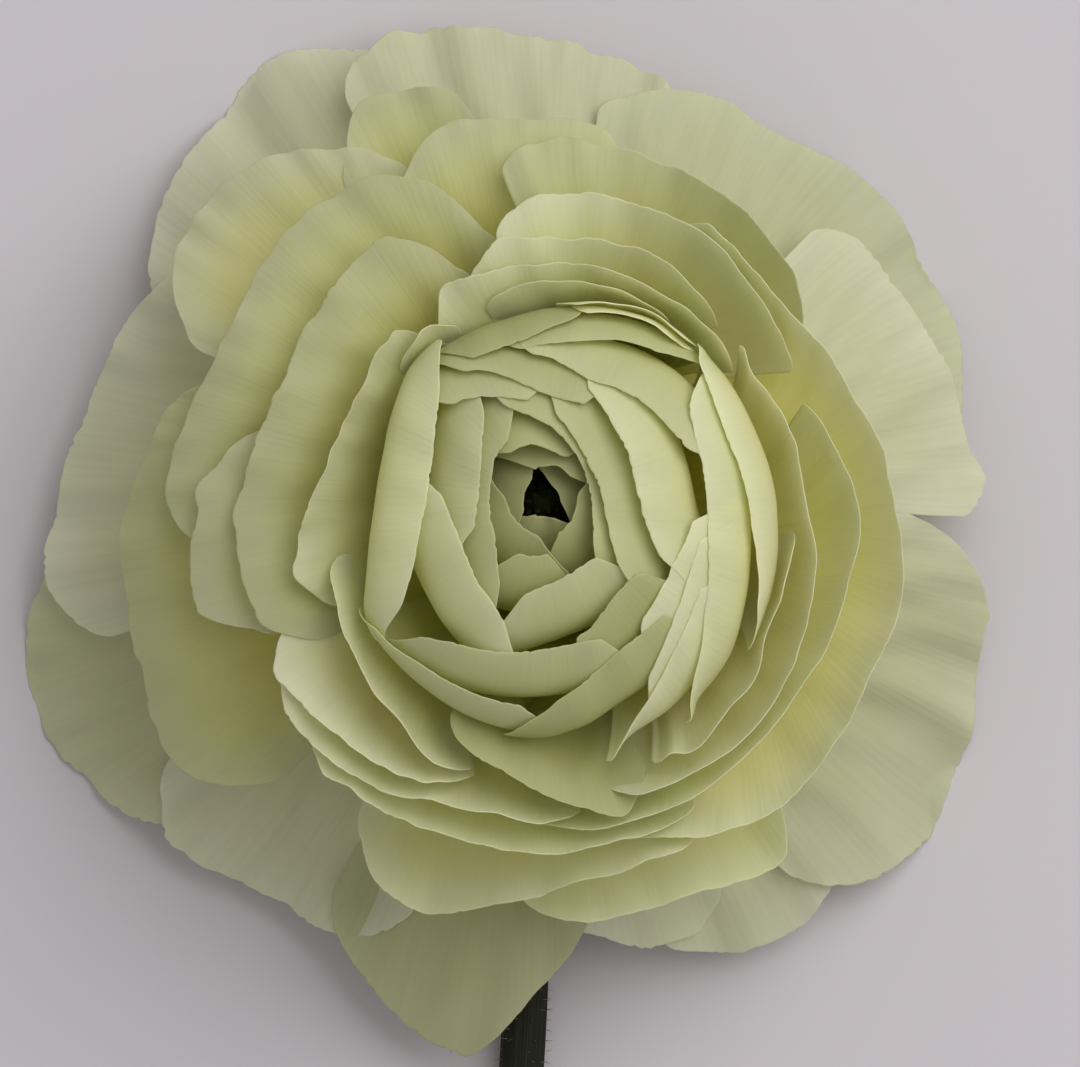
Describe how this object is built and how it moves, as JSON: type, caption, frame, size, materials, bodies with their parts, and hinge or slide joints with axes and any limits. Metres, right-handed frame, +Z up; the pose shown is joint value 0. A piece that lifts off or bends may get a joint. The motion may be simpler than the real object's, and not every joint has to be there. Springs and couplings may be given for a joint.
{
  "type": "ranunculus flower",
  "caption": "Open ranunculus bloom with whorls of thin overlapping petals round a small dark centre, lying face up on its outer petals, its bare cut stem bent flat along the surface.",
  "frame": {"origin": "on the surface that the flower lies on, under the middle of its bounding box", "axes": "+Z up, out of the open face of the bloom; +Y from the cut end of the stem towards the bloom; +X to the right of the bloom as seen from above with the stem towards the viewer"},
  "size_m": [0.0918, 0.1798, 0.0452],
  "materials": {
    "stem_green": "smooth, dull, finely hairy",
    "sepal_green": "soft, matt",
    "guard_petal": "thin, silky, lets light through",
    "cup_petal": "thin, silky, lets light through",
    "heart_petal": "thin, silky, lets light through",
    "carpel_green": "matt"
  },
  "bodies": {
    "root": {"stem": "stem_green", "sepals": "sepal_green", "guard_petals": "guard_petal", "cup_petals": "cup_petal", "heart_petals": "heart_petal", "carpels": "carpel_green"}
  },
  "joints": []
}
